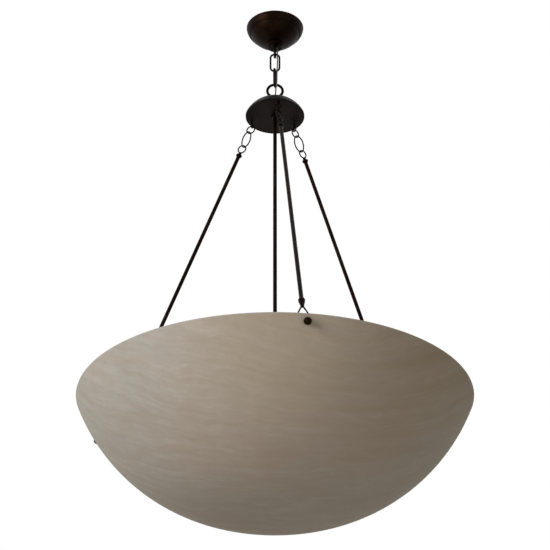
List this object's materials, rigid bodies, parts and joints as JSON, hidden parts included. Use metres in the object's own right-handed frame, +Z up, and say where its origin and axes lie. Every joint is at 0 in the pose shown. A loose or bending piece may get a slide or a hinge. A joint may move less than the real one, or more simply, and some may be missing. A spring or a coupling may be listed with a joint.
{
  "type": "bowl pendant light",
  "caption": "Alabaster bowl pendant: stone bowl hung by three jointed metal rods from a domed hub on a chain, ring and ceiling canopy, with a lamp cluster inside.",
  "frame": {"origin": "middle of the two ceiling-box screws, on the ceiling plane, on the axis of canopy, stem and bowl", "axes": "+Z up, so the lamp hangs down along -Z; -Y is the front, towards the near rod; +X is to the right seen from the front; the two ceiling screws lie along X"},
  "size_m": [0.9134, 0.9188, 1.3665],
  "materials": {
    "aged_bronze": "satin",
    "alabaster": "satin",
    "brown_cord": "matte",
    "zinc_steel": "satin",
    "green_screw": "satin",
    "white_porcelain": "gloss",
    "frosted_glass": "satin"
  },
  "bodies": {
    "ceiling_mount": {"crossbar": "zinc_steel", "mounting_nipple": "zinc_steel", "nipple_locknuts": "zinc_steel", "ground_screw": "green_screw", "canopy_loop": "aged_bronze", "cord_upper": "brown_cord"},
    "canopy_shell": {"canopy": "aged_bronze", "screw_collar": "aged_bronze"},
    "upper_link": {"chain_link_1": "aged_bronze", "cord_middle": "brown_cord"},
    "lower_link": {"chain_link_2": "aged_bronze", "cord_lower": "brown_cord"},
    "hub": {"hub_loop": "aged_bronze", "hub_dome": "aged_bronze", "hub_plate": "aged_bronze", "hub_eye_front": "aged_bronze", "hub_eye_right": "aged_bronze", "hub_eye_left": "aged_bronze", "hub_eye_nuts": "zinc_steel", "stem": "aged_bronze", "stem_nuts": "zinc_steel", "cluster_body": "aged_bronze", "cluster_lid": "aged_bronze", "cluster_finial": "aged_bronze", "lamp_socket_1": "white_porcelain", "lamp_socket_2": "white_porcelain", "lamp_socket_3": "white_porcelain", "lamp_socket_4": "white_porcelain", "lamp_socket_5": "white_porcelain", "lamp_socket_6": "white_porcelain", "bulb_1": "frosted_glass", "bulb_2": "frosted_glass", "bulb_3": "frosted_glass", "bulb_4": "frosted_glass", "bulb_5": "frosted_glass", "bulb_6": "frosted_glass"},
    "bowl": {"bowl": "alabaster", "eye_bolt_front": "aged_bronze", "eye_bolt_right": "aged_bronze", "eye_bolt_left": "aged_bronze", "knob_front": "aged_bronze", "knob_right": "aged_bronze", "knob_left": "aged_bronze", "bolt_washers": "aged_bronze", "bolt_nuts": "zinc_steel"},
    "suspension_front": {"ring_link_front": "aged_bronze", "oval_link_front": "aged_bronze", "rod_top_loop_front": "aged_bronze", "rod_front": "aged_bronze", "rod_bottom_loop_front": "aged_bronze"},
    "suspension_right": {"ring_link_right": "aged_bronze", "oval_link_right": "aged_bronze", "rod_top_loop_right": "aged_bronze", "rod_right": "aged_bronze", "rod_bottom_loop_right": "aged_bronze"},
    "suspension_left": {"ring_link_left": "aged_bronze", "oval_link_left": "aged_bronze", "rod_top_loop_left": "aged_bronze", "rod_left": "aged_bronze", "rod_bottom_loop_left": "aged_bronze"}
  },
  "joints": [
    {"name": "canopy_drop", "type": "slide", "parent": "ceiling_mount", "child": "canopy_shell", "axis": [0, 0, -1], "range_m": [0, 0.01]},
    {"name": "upper_link_swing", "type": "hinge", "parent": "ceiling_mount", "child": "upper_link", "pos_m": [0, 0, -0.092], "axis": [0, 1, 0], "range_deg": [-25, 25], "deforming": ["cord_upper"]},
    {"name": "lower_link_swing", "type": "hinge", "parent": "upper_link", "child": "lower_link", "pos_m": [0, 0, -0.1407], "axis": [1, 0, 0], "range_deg": [-25, 25], "deforming": ["cord_middle"]},
    {"name": "hub_swing", "type": "hinge", "parent": "lower_link", "child": "hub", "pos_m": [0, 0, -0.1904], "axis": [0.2079, 0.9781, 0], "range_deg": [-25, 25], "deforming": ["cord_lower"]},
    {"name": "bowl_sway", "type": "hinge", "parent": "hub", "child": "bowl", "pos_m": [0, 0, -0.15785], "axis": [0, 1, 0], "range_deg": [-3, 3]},
    {"name": "suspension_front_sway", "type": "hinge", "parent": "hub", "child": "suspension_front", "pos_m": [0.00928, -0.06285, -0.30091], "axis": [0, 1, 0], "range_deg": [-4, 4]},
    {"name": "suspension_right_sway", "type": "hinge", "parent": "hub", "child": "suspension_right", "pos_m": [0.04979, 0.03946, -0.30091], "axis": [0, 1, 0], "range_deg": [-4, 4]},
    {"name": "suspension_left_sway", "type": "hinge", "parent": "hub", "child": "suspension_left", "pos_m": [-0.05907, 0.02339, -0.30091], "axis": [0, 1, 0], "range_deg": [-4, 4]}
  ],
  "couplings": [
    {"joint": "suspension_front_sway", "follows": "bowl_sway", "ratio": 1.1823},
    {"joint": "suspension_right_sway", "follows": "bowl_sway", "ratio": 1.1823},
    {"joint": "suspension_left_sway", "follows": "bowl_sway", "ratio": 1.1823}
  ]
}
